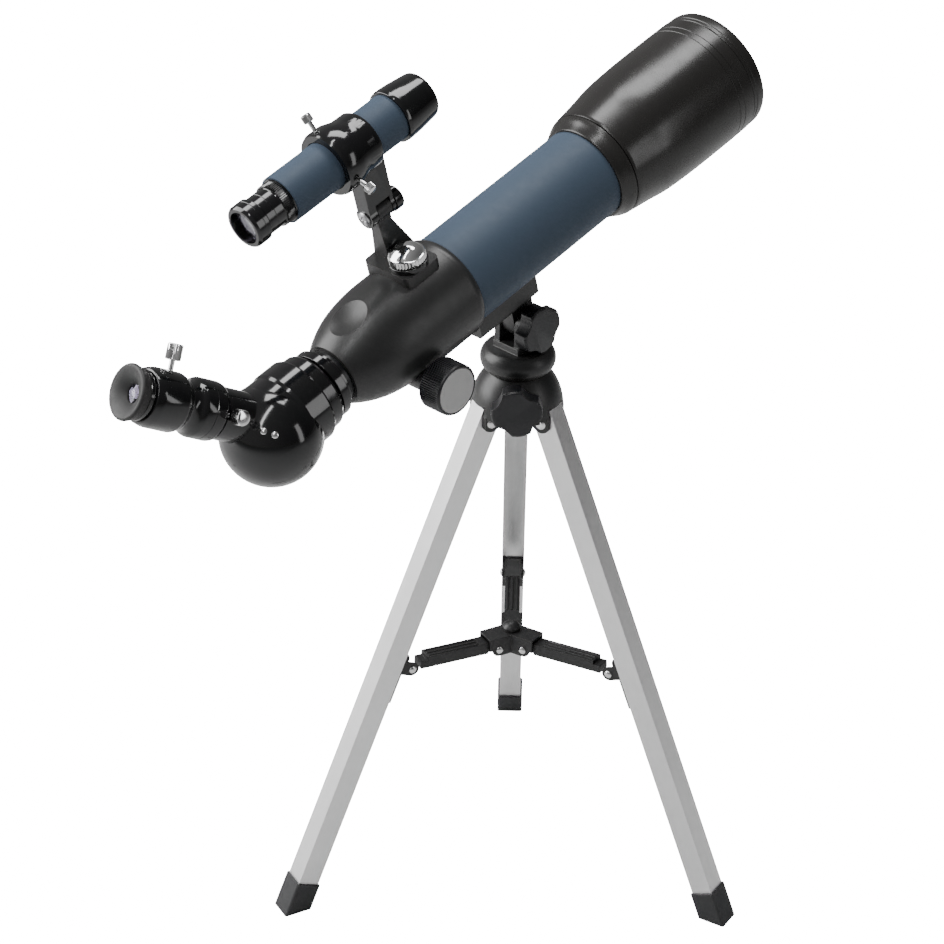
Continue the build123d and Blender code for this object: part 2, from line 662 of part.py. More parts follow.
# ---- finder ----
def finder_post():
    """Foot that lies on the rear body, and a tapered post up to the hinge."""
    foot_plate = block((-20, 15), (-34.5, -20), (-101, -75))
    foot_plate = fillet(foot_plate.edges().filter_by(Axis.Y), 4.0)
    foot_plate -= rod(31.0 + SEAT, -110, -60)
    foot_plate -= Location((4.5, -31, -89)) * cross_rod(3.0 + SEAT, -8, 8)
    low = Location((-13.5, -33, -82)) * Rotation(90, 0, 0) * Rectangle(12, 20)
    high = Location((FINDER_X, -60, -91)) * Rotation(90, 0, 0) * Rectangle(6.4, 10)
    post = foot_plate + loft([low.face(), high.face()])
    post += block((FINDER_X - 3.2, FINDER_X + 3.2), (-HINGE_UP, -59.5), (-96, -86))
    post += Location((FINDER_X, -HINGE_UP, 0)) * rod(6.0, -96, -86)
    post -= Location((FINDER_X, -HINGE_UP, 0)) * rod(2.0 + RUN, -100, -80)
    return TUBE * post


def finder_nut_collar():
    return TUBE * Location((4.5, 0, -89)) * Rotation(90, 0, 0) * ring(11.2, 3.05, 34.55, 37.6)


def finder_nut():
    """Domed knurled nut and stud that hold the finder's foot down."""
    nut = turned_curves(
        Line((0, 28), (3.0, 28)),
        Line((3.0, 28), (3.0, 37.7)),
        Line((3.0, 37.7), (10.6, 37.7)),
        Line((10.6, 37.7), (10.6, 39.4)),
        Line((10.6, 39.4), (9.4, 39.4)),
        Line((9.4, 39.4), (9.2, 42.6)),
        crown(9.2, 42.6, 47.2),
        Line((0, 47.2), (0, 28)),
    )
    return TUBE * Location((4.5, 0, -89)) * Rotation(90, 0, 0) * nut


def finder_bracket():
    """Fork on the hinge, with the ring that holds the finder."""
    up = FINDER_UP - HINGE_UP
    bracket = block((-5, 5), (-up + 15, -7.2), (-101.6, -83.2))
    for low, high in ((-101.6, -96.4), (-85.6, -83.2)):
        bracket += rod(6.2, low, high)
        bracket += block((-5, 5), (-8, 0), (low, high))
    bracket = Location((0, up, 0)) * bracket
    bracket += turned((0, -118.5), (18.0, -118.5), (18.8, -116.5), (18.8, -108), (16.8, -101), (16.6, -92),
                      (15.8, -90.7), (0, -90.7))
    bracket -= rod(14.3, -120, -89)
    for angle in FINDER_SCREW_ANGLES:
        bracket -= finder_screw_frame(angle) * rod(1.3 + RUN, 13, 20)
    bracket -= Location((0, up, 0)) * rod(2.0 + SEAT, -110, -80)
    return FINDER * bracket


def finder_screw_frame(angle):
    """At the finder's axis: z along an adjusting screw, at an angle from straight up to the right."""
    return Location((0, 0, FINDER_SCREW_STATION)) * Rotation(0, 0, angle) * Rotation(90, 0, 0)


def finder_screw(number):
    angle = FINDER_SCREW_ANGLES[number]
    return FINDER * finder_screw_frame(angle) * thumb_screw(14.1, 23.4, 28.4, 1.3, 2.9)


def hinge_bolt():
    """Cross-head bolt through the finder's hinge."""
    bolt = rod(2.0, -101.6, -78.5) + Location((0, 0, -101.6)) * Rotation(180, 0, 0) * domed_head(4.4, 2.2)
    slots = block((-0.5, 0.5), (-2.6, 2.6), (-105, -102.9)) + block((-2.6, 2.6), (-0.5, 0.5), (-105, -102.9))
    return HINGE * (bolt - slots)


def hinge_knob():
    knob = rod(6.9, -82.8, -76.8)
    knob = fillet(knob.edges().group_by(Axis.Z)[-1], 1.6)
    return HINGE * (knob - rod(2.0 + RUN, -84, -78.4))


def finder_tube():
    return FINDER * ring(13.8, 12.8, -152.5, -60)


def finder_objective_cell():
    cell = turned((13.82, -69), (15.4, -69), (15.7, -67), (15.2, -58), (13.9, -46.6), (13.0, -44.5),
                  (11.6, -44.5), (11.6, -59.5), (13.82, -59.5))
    return FINDER * cell


def finder_eyepiece():
    """Focusing eyepiece: collar, barrel and knurled ring."""
    barrel = turned((9.4, -180), (11.4, -180), (12.4, -178.4), (12.4, -171), (11.1, -170.2), (11.1, -159.2),
                    (12.2, -158.6), (12.2, -153.0), (12.74, -152.9), (12.74, -140), (9.4, -140))
    return FINDER * barrel


def finder_lenses():
    """Objective of the finder."""
    front = turned_curves(
        Line((0, -58), (11.5, -58)),
        Line((11.5, -58), (11.5, -56.5)),
        crown(11.5, -56.5, -54.8),
        Line((0, -54.8), (0, -58)),
    )
    return FINDER * front


def finder_eye_lens():
    eye = turned_curves(
        crown(9.3, -175.8, -177.6),
        Line((9.3, -175.8), (9.3, -174.2)),
        Line((9.3, -174.2), (0, -174.2)),
        Line((0, -174.2), (0, -177.6)),
    )
    return FINDER * eye


# ---- the whole object ----
def build_nodes():
    """Every piece by name, before the origin is moved."""
    nodes = {"tripod_hub": tripod_hub(), "leg_pivot_screws": leg_screws()}
    for side in LEG_ANGLES:
        nodes["leg_" + side] = leg(side)
        nodes["foot_" + side] = foot(side)
        nodes["leg_bracket_" + side] = leg_bracket(side)
        nodes["spreader_arm_" + side] = spreader_arm(side)
    makers = [
        spreader_hub, spreader_knob, pan_head, pan_axle, tilt_bolt, tilt_knob, pan_lock_knob,
        saddle, saddle_screws, main_tube, rear_body, dew_ring, dew_shield, dew_front_ring, lens_cell,
        retaining_ring, objective_lenses, drawtube, drawtube_collar, rack, pinion_shaft, focus_knobs,
        knob_discs, diagonal_housing, diagonal_screws, diagonal_mirror, eyepiece_tube,
        eyepiece_lock_screw, diagonal_lock_screw, eyepiece_barrel, eyecup, eyepiece_lenses,
        finder_post, finder_nut_collar, finder_nut, finder_bracket, hinge_bolt, hinge_knob,
        finder_tube, finder_objective_cell, finder_eyepiece, finder_lenses, finder_eye_lens,
    ]
    for maker in makers:
        nodes[maker.__name__] = maker()
    for number in range(len(FINDER_SCREW_ANGLES)):
        nodes["finder_screw_" + str(number + 1)] = finder_screw(number)
    return nodes


def bottom_centre(nodes):
    """The middle of the object's box, at floor level."""
    boxes = [node.bounding_box() for node in nodes.values()]
    low_x, high_x = min(box.min.X for box in boxes), max(box.max.X for box in boxes)
    low_y, high_y = min(box.min.Y for box in boxes), max(box.max.Y for box in boxes)
    return Vector((low_x + high_x) / 2, (low_y + high_y) / 2, 0)


NODES = build_nodes()
ORIGIN = bottom_centre(NODES)
SHIFT = Location(-ORIGIN)

os.makedirs("parts", exist_ok=True)
for name, node in NODES.items():
    export_step(SHIFT * node, "parts/" + name + ".step")
print(len(NODES), "pieces, origin", ORIGIN)
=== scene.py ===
"""A small refracting telescope on a folding table tripod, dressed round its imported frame."""

import json
from math import asin, cos, hypot, pi, radians, sin, tau

import bmesh
import bpy
from mathutils import Matrix, Quaternion, Vector


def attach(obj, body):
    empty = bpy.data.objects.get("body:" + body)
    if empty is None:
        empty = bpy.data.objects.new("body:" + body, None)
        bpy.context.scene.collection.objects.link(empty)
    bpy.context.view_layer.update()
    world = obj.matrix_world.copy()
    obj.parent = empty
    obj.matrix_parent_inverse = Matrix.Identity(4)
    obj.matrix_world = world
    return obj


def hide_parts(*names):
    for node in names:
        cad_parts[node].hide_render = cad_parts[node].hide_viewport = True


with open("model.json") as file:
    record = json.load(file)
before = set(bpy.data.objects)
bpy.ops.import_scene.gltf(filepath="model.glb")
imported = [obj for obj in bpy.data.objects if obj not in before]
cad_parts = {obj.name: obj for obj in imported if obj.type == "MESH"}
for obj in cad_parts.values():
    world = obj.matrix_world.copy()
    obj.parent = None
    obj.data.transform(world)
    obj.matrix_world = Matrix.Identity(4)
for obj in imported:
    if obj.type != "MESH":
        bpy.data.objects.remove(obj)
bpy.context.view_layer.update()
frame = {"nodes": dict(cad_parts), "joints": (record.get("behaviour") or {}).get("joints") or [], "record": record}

MM = 0.001
ROUND = 144          # steps in a full turn of a large round piece
SMALL_ROUND = 72
SIDES = ("rear", "left", "right")
JOINTS = {joint["name"]: joint for joint in frame["joints"]}
MOUNTS = {mount["name"]: mount for mount in frame["record"]["mounts"]}


# ---- places, read from the frame ----
def joint_point(name):
    return Vector(JOINTS[name]["pos_m"])


def joint_axis(name):
    return Vector(JOINTS[name]["axis"]).normalized()


def axes_at(origin, z_axis, x_axis):
    """A place with z along one direction and x as near as can be to another."""
    z = z_axis.normalized()
    y = z.cross(x_axis).normalized()
    x = y.cross(z)
    place = Matrix((x, y, z)).transposed().to_4x4()
    place.translation = origin
    return place


def shifted(place, x=0.0, y=0.0, z=0.0):
    """A place moved along its own axes, in millimetres."""
    return place @ Matrix.Translation((x * MM, y * MM, z * MM))


tripod_axis = joint_point("pan_turn")
tube_way = -joint_axis("focus_travel")
elbow = joint_point("diagonal_roll")
tube_start = elbow + tube_way * ((tripod_axis.y - elbow.y) / tube_way.y)
TUBE = axes_at(tube_start, tube_way, Vector((1, 0, 0)))
exit_way = joint_axis("eyepiece_slide")
exit_side = joint_axis("diagonal_lock_turn")
eye_lock_rise, eye_lock_reach = 72, 24
exit_start = joint_point("eyepiece_lock_turn") - joint_axis("eyepiece_lock_turn") * eye_lock_reach * MM
exit_start -= exit_way * eye_lock_rise * MM
EXIT = axes_at(exit_start, exit_way, exit_side)
adjuster_reach, adjuster_station = 24, -112
finder_start = joint_point("finder_adjuster_1_turn")
finder_start -= joint_axis("finder_adjuster_1_turn") * adjuster_reach * MM
finder_start -= tube_way * adjuster_station * MM
FINDER = axes_at(finder_start, tube_way, Vector((1, 0, 0)))
PINION = axes_at(joint_point("focus_knob_turn"), Vector((1, 0, 0)), tube_way)
NUT = axes_at(joint_point("finder_nut_turn") - joint_axis("finder_nut_turn") * 40 * MM,
              joint_axis("finder_nut_turn"), Vector((1, 0, 0)))


def adjuster_place(number):
    name = f"finder_adjuster_{number}_turn"
    axis = joint_axis(name)
    return axes_at(joint_point(name) - axis * adjuster_reach * MM, axis, tube_way)


def leg_place(side):
    """At a leg's pivot: x away from the tripod axis, y along the pivot, z up the leg."""
    pivot = joint_point(f"leg_{side}_fold")
    up_leg = pivot - Vector(MOUNTS[f"foot_sole_{side}"]["pos_m"])
    return axes_at(pivot, up_leg, joint_axis(f"leg_{side}_fold").cross(up_leg))


def arm_place(side):
    """At an arm's inner pin: y along the pin, z up."""
    pin = joint_axis(f"arm_{side}_fold")
    up = Vector((0, 0, 1))
    return axes_at(joint_point(f"arm_{side}_fold"), up, pin.cross(up))


# ---- material effects ----
def effect_group(name, inputs, outputs):
    """An empty shader node group with its sockets, and its input and output nodes."""
    group = bpy.data.node_groups.new(name, "ShaderNodeTree")
    for label, kind, value in inputs:
        socket = group.interface.new_socket(label, in_out="INPUT", socket_type=kind)
        socket.default_value = value
    for label, kind in outputs:
        group.interface.new_socket(label, in_out="OUTPUT", socket_type=kind)
    return group, group.nodes.new("NodeGroupInput"), group.nodes.new("NodeGroupOutput")


def noise(group, place, scale, detail=4.0, roughness=0.55):
    """A noise texture in a group, read at a place; scale is a number or a socket."""
    node = group.nodes.new("ShaderNodeTexNoise")
    node.inputs["Detail"].default_value = detail
    node.inputs["Roughness"].default_value = roughness
    group.links.new(place, node.inputs["Vector"])
    if isinstance(scale, (int, float)):
        node.inputs["Scale"].default_value = scale
    else:
        group.links.new(scale, node.inputs["Scale"])
    return node


def math_node(group, operation, first, second, clamp=False):
    node = group.nodes.new("ShaderNodeMath")
    node.operation = operation
    node.use_clamp = clamp
    for socket, value in zip(node.inputs, (first, second)):
        if isinstance(value, (int, float)):
            socket.default_value = value
        else:
            group.links.new(value, socket)
    return node.outputs[0]


def build_mottle():
    """Slow drift of colour and gloss over a surface."""
    group, given, result = effect_group(
        "mottle",
        [("Place", "NodeSocketVector", (0, 0, 0)), ("Colour", "NodeSocketColor", (0.5, 0.5, 0.5, 1)),
         ("Drift", "NodeSocketFloat", 0.1), ("Scale", "NodeSocketFloat", 40.0),
         ("Roughness", "NodeSocketFloat", 0.4), ("Gloss Drift", "NodeSocketFloat", 0.05)],
        [("Colour", "NodeSocketColor"), ("Roughness", "NodeSocketFloat")])
    broad = noise(group, given.outputs["Place"], given.outputs["Scale"])
    centred = math_node(group, "SUBTRACT", broad.outputs["Fac"], 0.5)
    swing = math_node(group, "MULTIPLY", centred, given.outputs["Drift"])
    factor = math_node(group, "MULTIPLY_ADD", swing, 2.0)
    factor.node.inputs[2].default_value = 1.0
    tint = group.nodes.new("ShaderNodeVectorMath")
    tint.operation = "SCALE"
    group.links.new(given.outputs["Colour"], tint.inputs[0])
    group.links.new(factor, tint.inputs["Scale"])
    smear_scale = math_node(group, "MULTIPLY", given.outputs["Scale"], 3.7)
    smear = noise(group, given.outputs["Place"], smear_scale, 5.0)
    gloss = math_node(group, "SUBTRACT", smear.outputs["Fac"], 0.5)
    gloss = math_node(group, "MULTIPLY", gloss, given.outputs["Gloss Drift"])
    gloss = math_node(group, "MULTIPLY", gloss, 2.0)
    gloss = math_node(group, "ADD", gloss, given.outputs["Roughness"], clamp=True)
    group.links.new(tint.outputs[0], result.inputs["Colour"])
    group.links.new(gloss, result.inputs["Roughness"])
    return group


def build_grain():
    """Fine moulded or cast grain as a normal."""
    group, given, result = effect_group(
        "grain",
        [("Place", "NodeSocketVector", (0, 0, 0)), ("Scale", "NodeSocketFloat", 1500.0),
         ("Height", "NodeSocketFloat", 0.1)],
        [("Normal", "NodeSocketVector")])
    fine = noise(group, given.outputs["Place"], given.outputs["Scale"], 2.0)
    bump = group.nodes.new("ShaderNodeBump")
    bump.inputs["Distance"].default_value = 0.0001
    group.links.new(fine.outputs["Fac"], bump.inputs["Height"])
    group.links.new(given.outputs["Height"], bump.inputs["Strength"])
    group.links.new(bump.outputs["Normal"], result.inputs["Normal"])
    return group


def build_dust():
    """Light dust that settles on what faces up: a mask."""
    group, given, result = effect_group(
        "dust",
        [("Place", "NodeSocketVector", (0, 0, 0)), ("Amount", "NodeSocketFloat", 0.1),
         ("Scale", "NodeSocketFloat", 260.0)],
        [("Mask", "NodeSocketFloat")])
    surface = group.nodes.new("ShaderNodeNewGeometry")
    split = group.nodes.new("ShaderNodeSeparateXYZ")
    group.links.new(surface.outputs["Normal"], split.inputs[0])
    facing = math_node(group, "MAXIMUM", split.outputs["Z"], 0.0)
    specks = noise(group, given.outputs["Place"], given.outputs["Scale"], 6.0, 0.7)
    sharp = math_node(group, "SUBTRACT", specks.outputs["Fac"], 0.5, clamp=True)
    mask = math_node(group, "MULTIPLY", facing, sharp)
    mask = math_node(group, "MULTIPLY", mask, given.outputs["Amount"])
    mask = math_node(group, "MULTIPLY", mask, 1.5, clamp=True)
    group.links.new(mask, result.inputs["Mask"])
    return group


def build_brushing():
    """Fine lines left by drawing or polishing: a height and a roughness."""
    group, given, result = effect_group(
        "brushing",
        [("Place", "NodeSocketVector", (0, 0, 0)), ("Stretch", "NodeSocketVector", (1, 1, 0.02)),
         ("Scale", "NodeSocketFloat", 900.0), ("Roughness", "NodeSocketFloat", 0.3),
         ("Spread", "NodeSocketFloat", 0.2), ("Height", "NodeSocketFloat", 0.1)],
        [("Roughness", "NodeSocketFloat"), ("Normal", "NodeSocketVector")])
    along = group.nodes.new("ShaderNodeVectorMath")
    along.operation = "MULTIPLY"
    group.links.new(given.outputs["Place"], along.inputs[0])
    group.links.new(given.outputs["Stretch"], along.inputs[1])
    lines = noise(group, along.outputs[0], given.outputs["Scale"], 3.0, 0.6)
    spread = math_node(group, "SUBTRACT", lines.outputs["Fac"], 0.5)
    spread = math_node(group, "MULTIPLY", spread, given.outputs["Spread"])
    rough = math_node(group, "ADD", spread, given.outputs["Roughness"], clamp=True)
    bump = group.nodes.new("ShaderNodeBump")
    bump.inputs["Distance"].default_value = 0.00005
    group.links.new(lines.outputs["Fac"], bump.inputs["Height"])
    group.links.new(given.outputs["Height"], bump.inputs["Strength"])
    group.links.new(rough, result.inputs["Roughness"])
    group.links.new(bump.outputs["Normal"], result.inputs["Normal"])
    return group


MOTTLE, GRAIN, DUST, BRUSHING = build_mottle(), build_grain(), build_dust(), build_brushing()
DUST_COLOUR = (0.30, 0.29, 0.27, 1)


class Recipe:
    """A material being mixed: its tree, shader and the place its patterns are read at."""

    def __init__(self, name, **constants):
        self.material = bpy.data.materials.new(name)
        self.material.use_nodes = True
        self.tree = self.material.node_tree
        self.shader = self.tree.nodes["Principled BSDF"]
        for label, value in constants.items():
            self.shader.inputs[label.replace("_", " ")].default_value = value
        self.place = self.tree.nodes.new("ShaderNodeTexCoord").outputs["Object"]

    def turned_place(self, matrix):
        """Reads the patterns in the axes of a place, so that lines can follow a piece."""
        mapping = self.tree.nodes.new("ShaderNodeMapping")
        mapping.vector_type = "TEXTURE"
        mapping.inputs["Location"].default_value = matrix.translation
        mapping.inputs["Rotation"].default_value = matrix.to_euler()
        self.tree.links.new(self.place, mapping.inputs["Vector"])
        self.place = mapping.outputs["Vector"]

    def effect(self, group, **values):
        node = self.tree.nodes.new("ShaderNodeGroup")
        node.node_tree = group
        self.tree.links.new(self.place, node.inputs["Place"])
        for label, value in values.items():
            node.inputs[label.replace("_", " ")].default_value = value
        return node

    def feed(self, output, label):
        self.tree.links.new(output, self.shader.inputs[label])


def moulded(name, colour, roughness, drift=0.12, grain=0.08, grain_scale=1400.0, dust=0.05, **constants):
    """Plastic, rubber or paint: drifting colour and gloss, fine grain and a little dust."""
    recipe = Recipe(name, **constants)
    mottle = recipe.effect(MOTTLE, Colour=(*colour, 1), Drift=drift, Scale=45.0, Roughness=roughness,
                           Gloss_Drift=roughness * 0.22)
    specks = recipe.effect(DUST, Amount=dust)
    coat = recipe.tree.nodes.new("ShaderNodeMix")
    coat.data_type = "RGBA"
    coat.inputs[7].default_value = DUST_COLOUR
    recipe.tree.links.new(specks.outputs["Mask"], coat.inputs[0])
    recipe.tree.links.new(mottle.outputs["Colour"], coat.inputs[6])
    recipe.feed(coat.outputs[2], "Base Color")
    rough = recipe.tree.nodes.new("ShaderNodeMix")
    rough.inputs[3].default_value = 0.8
    recipe.tree.links.new(specks.outputs["Mask"], rough.inputs[0])
    recipe.tree.links.new(mottle.outputs["Roughness"], rough.inputs[2])
    recipe.feed(rough.outputs[0], "Roughness")
    grained = recipe.effect(GRAIN, Scale=grain_scale, Height=grain)
    recipe.feed(grained.outputs["Normal"], "Normal")
    return recipe.material


def polished(name, colour, roughness, place=None, stretch=(1, 1, 0.02), scale=900.0, spread=0.15, height=0.1):
    """Bare metal with lines that run along the stretched axis of a place."""
    recipe = Recipe(name, Metallic=1.0)
    mottle = recipe.effect(MOTTLE, Colour=(*colour, 1), Drift=0.06, Scale=60.0)
    recipe.feed(mottle.outputs["Colour"], "Base Color")
    if place is not None:
        recipe.turned_place(place)
    lines = recipe.effect(BRUSHING, Stretch=stretch, Scale=scale, Roughness=roughness, Spread=spread,
                          Height=height)
    recipe.feed(lines.outputs["Roughness"], "Roughness")
    recipe.feed(lines.outputs["Normal"], "Normal")
    return recipe.material


def lens_glass(name, tint, reflection):
    """Coated glass with faint smears."""
    recipe = Recipe(name, Transmission_Weight=1.0, IOR=1.52, Specular_Tint=(*reflection, 1))
    mottle = recipe.effect(MOTTLE, Colour=(*tint, 1), Drift=0.02, Scale=80.0, Roughness=0.02,
                           Gloss_Drift=0.02)
    recipe.feed(mottle.outputs["Colour"], "Base Color")
    recipe.feed(mottle.outputs["Roughness"], "Roughness")
    return recipe.material


GLOSS_BLACK = moulded("gloss_black", (0.004, 0.004, 0.0045), 0.11, grain=0.03, grain_scale=700.0,
                      Coat_Weight=0.25, Coat_Roughness=0.12)
HOOD_BLACK = moulded("hood_black", (0.0150, 0.0140, 0.0132), 0.26, drift=0.08, grain=0.02,
                      grain_scale=1500.0, dust=0.0)
SATIN_BLACK = moulded("satin_black", (0.0165, 0.0165, 0.0165), 0.37, grain=0.12, grain_scale=1700.0)
KNOB_BLACK = moulded("knob_black", (0.006, 0.0062, 0.008), 0.36, grain=0.08)
MATT_BLACK = moulded("matt_black", (0.008, 0.008, 0.008), 0.75, grain=0.2)
SPREADER_BLACK = moulded("spreader_black", (0.010, 0.010, 0.0105), 0.42, grain=0.2, grain_scale=1100.0)
FOOT_RUBBER = moulded("foot_rubber", (0.020, 0.0205, 0.022), 0.62, drift=0.2, grain=0.35, grain_scale=900.0,
                      dust=0.12)
CUP_RUBBER = moulded("cup_rubber", (0.016, 0.016, 0.016), 0.55, grain=0.3, grain_scale=1200.0)
TUBE_BLUE = moulded("tube_blue", (0.050, 0.072, 0.104), 0.55, drift=0.05, grain=0.10, grain_scale=2600.0,
                    dust=0.02, Specular_IOR_Level=0.22)
DISC_GREY = moulded("disc_grey", (0.46, 0.46, 0.46), 0.55, drift=0.03, grain=0.12,
                     grain_scale=2000.0, dust=0.0)
CHROME = polished("chrome", (0.80, 0.80, 0.80), 0.10, spread=0.10, height=0.04)
STEEL = polished("steel", (0.52, 0.52, 0.53), 0.32)
BLACK_METAL = moulded("black_metal", (0.012, 0.012, 0.013), 0.30, grain=0.05, Metallic=0.4)
MIRROR = polished("mirror", (0.92, 0.92, 0.92), 0.02, spread=0.01, height=0.0)
GLASS = lens_glass("lens_glass", (0.93, 0.97, 0.95), (0.75, 0.62, 1.0))
ALUMINIUM = {side: polished(f"aluminium_{side}", (0.80, 0.80, 0.80), 0.34, leg_place(side), (1, 1, 0.012),
                            1100.0, 0.22, 0.12) for side in SIDES}

NODE_FINISH = {
    "tripod_hub": SATIN_BLACK, "leg_pivot_screws": CHROME, "spreader_hub": SPREADER_BLACK,
    "spreader_knob": SPREADER_BLACK, "pan_head": SATIN_BLACK, "pan_axle": STEEL, "tilt_bolt": STEEL,
    "tilt_knob": KNOB_BLACK, "pan_lock_knob": KNOB_BLACK, "saddle": SATIN_BLACK, "saddle_screws": STEEL,
    "main_tube": TUBE_BLUE, "rear_body": SATIN_BLACK, "dew_ring": HOOD_BLACK, "dew_shield": HOOD_BLACK,
    "dew_front_ring": HOOD_BLACK, "lens_cell": BLACK_METAL, "retaining_ring": MATT_BLACK,
    "objective_lenses": GLASS, "drawtube": BLACK_METAL, "drawtube_collar": GLOSS_BLACK, "rack": STEEL,
    "pinion_shaft": STEEL, "focus_knobs": KNOB_BLACK, "knob_discs": DISC_GREY,
    "diagonal_housing": GLOSS_BLACK,
    "diagonal_screws": CHROME, "diagonal_mirror": MIRROR, "eyepiece_tube": GLOSS_BLACK,
    "eyepiece_lock_screw": CHROME, "diagonal_lock_screw": CHROME, "eyepiece_barrel": CHROME,
    "eyecup": CUP_RUBBER, "eyepiece_lenses": GLASS, "finder_post": SATIN_BLACK,
    "finder_nut_collar": GLOSS_BLACK,
    "finder_nut": CHROME, "finder_bracket": GLOSS_BLACK, "hinge_bolt": STEEL, "hinge_knob": GLOSS_BLACK,
    "finder_tube": TUBE_BLUE, "finder_objective_cell": GLOSS_BLACK, "finder_eyepiece": GLOSS_BLACK,
    "finder_lenses": GLASS, "finder_eye_lens": GLASS,
    "finder_screw_1": CHROME, "finder_screw_2": CHROME, "finder_screw_3": CHROME,
}
for side in SIDES:
    NODE_FINISH[f"leg_{side}"] = ALUMINIUM[side]
    NODE_FINISH[f"foot_{side}"] = FOOT_RUBBER
    NODE_FINISH[f"leg_bracket_{side}"] = SPREADER_BLACK
    NODE_FINISH[f"spreader_arm_{side}"] = SPREADER_BLACK

NODE_BODY = {node: body for body, nodes in frame["record"]["behaviour"]["bodies"].items() for node in nodes}

for name, node in frame["nodes"].items():
    node.data.materials.clear()
    node.data.materials.append(NODE_FINISH[name])


# ---- mesh helpers: shapes are drawn in millimetres about their own place ----
def turned(outline, steps=ROUND):
    """A closed outline of (radius, height) points turned about Z."""
    bm = bmesh.new()
    corners = [bm.verts.new((radius, 0, height)) for radius, height in outline]
    on_axis = outline[0][0] == 0 and outline[-1][0] == 0
    followers = corners[1:] if on_axis else corners[1:] + corners[:1]
    edges = [bm.edges.new(pair) for pair in zip(corners, followers)]
    bmesh.ops.spin(bm, geom=corners + edges, cent=(0, 0, 0), axis=(0, 0, 1), dvec=(0, 0, 0), angle=tau,
                   steps=steps, use_merge=True, use_normal_flip=False, use_duplicate=False)
    bmesh.ops.remove_doubles(bm, verts=bm.verts, dist=0.0005)
    bmesh.ops.recalc_face_normals(bm, faces=bm.faces)
    return bm


def curve_run(points, per_span=6):
    """Points of a smooth curve through a few given ones."""
    ends = [points[0]] + list(points) + [points[-1]]
    run = []
    for first, start, end, last in zip(ends, ends[1:], ends[2:], ends[3:]):
        for step in range(per_span):
            t = step / per_span
            run.append(tuple(
                0.5 * (2 * b + (c - a) * t + (2 * a - 5 * b + 4 * c - d) * t ** 2
                       + (3 * b - a - 3 * c + d) * t ** 3)
                for a, b, c, d in zip(first, start, end, last)))
    return run + [points[-1]]


def dome_run(edge_radius, edge_height, rise, steps=7):
    """Outline points of a shallow dome, from its rim to its crown on the axis."""
    sphere = (edge_radius ** 2 + rise ** 2) / (2 * rise)
    spread = asin(min(1.0, edge_radius / sphere))
    centre = edge_height + rise - sphere
    return [(sphere * sin(spread * (1 - n / steps)), centre + sphere * cos(spread * (1 - n / steps)))
            for n in range(steps)] + [(0, edge_height + rise)]


def flute(bm, radius, low, high, depth, steps):
    """Presses every other line of a turned band inwards, which leaves fine teeth."""
    for vert in bm.verts:
        x, y, z = vert.co
        if low - 0.01 <= z <= high + 0.01 and abs(hypot(x, y) - radius) < 0.02:
            around = round((Vector((x, y)).angle_signed(Vector((1, 0)), 0.0)) / tau * steps)
            if around % 2:
                vert.co.xy *= (radius - depth) / radius


def joined(*parts):
    """Several bmeshes in one, each with the matrix it is placed by."""
    whole = bmesh.new()
    for part, matrix in parts:
        part.transform(matrix)
        scratch = bpy.data.meshes.new("scratch")
        part.to_mesh(scratch)
        part.free()
        whole.from_mesh(scratch)
        bpy.data.meshes.remove(scratch)
    return whole


def piece(name, bm, place, body, finish, replaces=(), bevel=0.0, segments=2, limit=30, smooth=38):
    """Turns a bmesh in millimetres into a finished piece that rides on a body."""
    bm.transform(place @ Matrix.Diagonal((MM, MM, MM, 1)))
    mesh = bpy.data.meshes.new(name)
    bm.to_mesh(mesh)
    bm.free()
    mesh.materials.append(finish)
    mesh.shade_smooth()
    mesh.set_sharp_from_angle(angle=radians(smooth))
    thing = bpy.data.objects.new(name, mesh)
    bpy.context.scene.collection.objects.link(thing)
    if bevel:
        rounding = thing.modifiers.new("rounding", "BEVEL")
        rounding.width = bevel * MM
        rounding.segments = segments
        rounding.limit_method = "ANGLE"
        rounding.angle_limit = radians(limit)
        rounding.use_clamp_overlap = True
        rounding.harden_normals = True
    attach(thing, body)
    if replaces:
        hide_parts(*replaces)
    return thing


def cut(thing, *cutters):
    """Cuts bmeshes, already in metres and in place, out of a piece and keeps the result as its mesh."""
    tools = []
    for number, bm in enumerate(cutters):
        mesh = bpy.data.meshes.new("cutter")
        bm.to_mesh(mesh)
        bm.free()
        tool = bpy.data.objects.new(f"cutter_{number}", mesh)
        bpy.context.scene.collection.objects.link(tool)
        tools.append(tool)
        slicing = thing.modifiers.new("cut", "BOOLEAN")
        slicing.operation = "DIFFERENCE"
        slicing.solver = "EXACT"
        slicing.object = tool
    bpy.context.view_layer.update()
    shaped = bpy.data.meshes.new_from_object(thing.evaluated_get(bpy.context.evaluated_depsgraph_get()))
    thing.modifiers.clear()
    thing.data = shaped
    shaped.set_sharp_from_angle(angle=radians(38))
    for tool in tools:
        bpy.data.objects.remove(tool)


def in_place(bm, place):
    """A bmesh in millimetres brought to a place, in metres."""
    bm.transform(place @ Matrix.Diagonal((MM, MM, MM, 1)))
    return bm


def softened(node, width, segments=2):
    """A copy of a CAD node with its doubles merged and its hard edges rounded."""
    source = frame["nodes"][node]
    bm = bmesh.new()
    bm.from_mesh(source.data)
    bmesh.ops.remove_doubles(bm, verts=bm.verts, dist=2e-6)
    bmesh.ops.dissolve_limit(bm, angle_limit=radians(0.5), use_dissolve_boundaries=False, verts=bm.verts,
                             edges=bm.edges, delimit=set())
    bm.transform(Matrix.Diagonal((1 / MM, 1 / MM, 1 / MM, 1)))
    return piece(node + "_shell", bm, Matrix.Identity(4), NODE_BODY[node], NODE_FINISH[node], (node,),
                 bevel=width, segments=segments, limit=32)


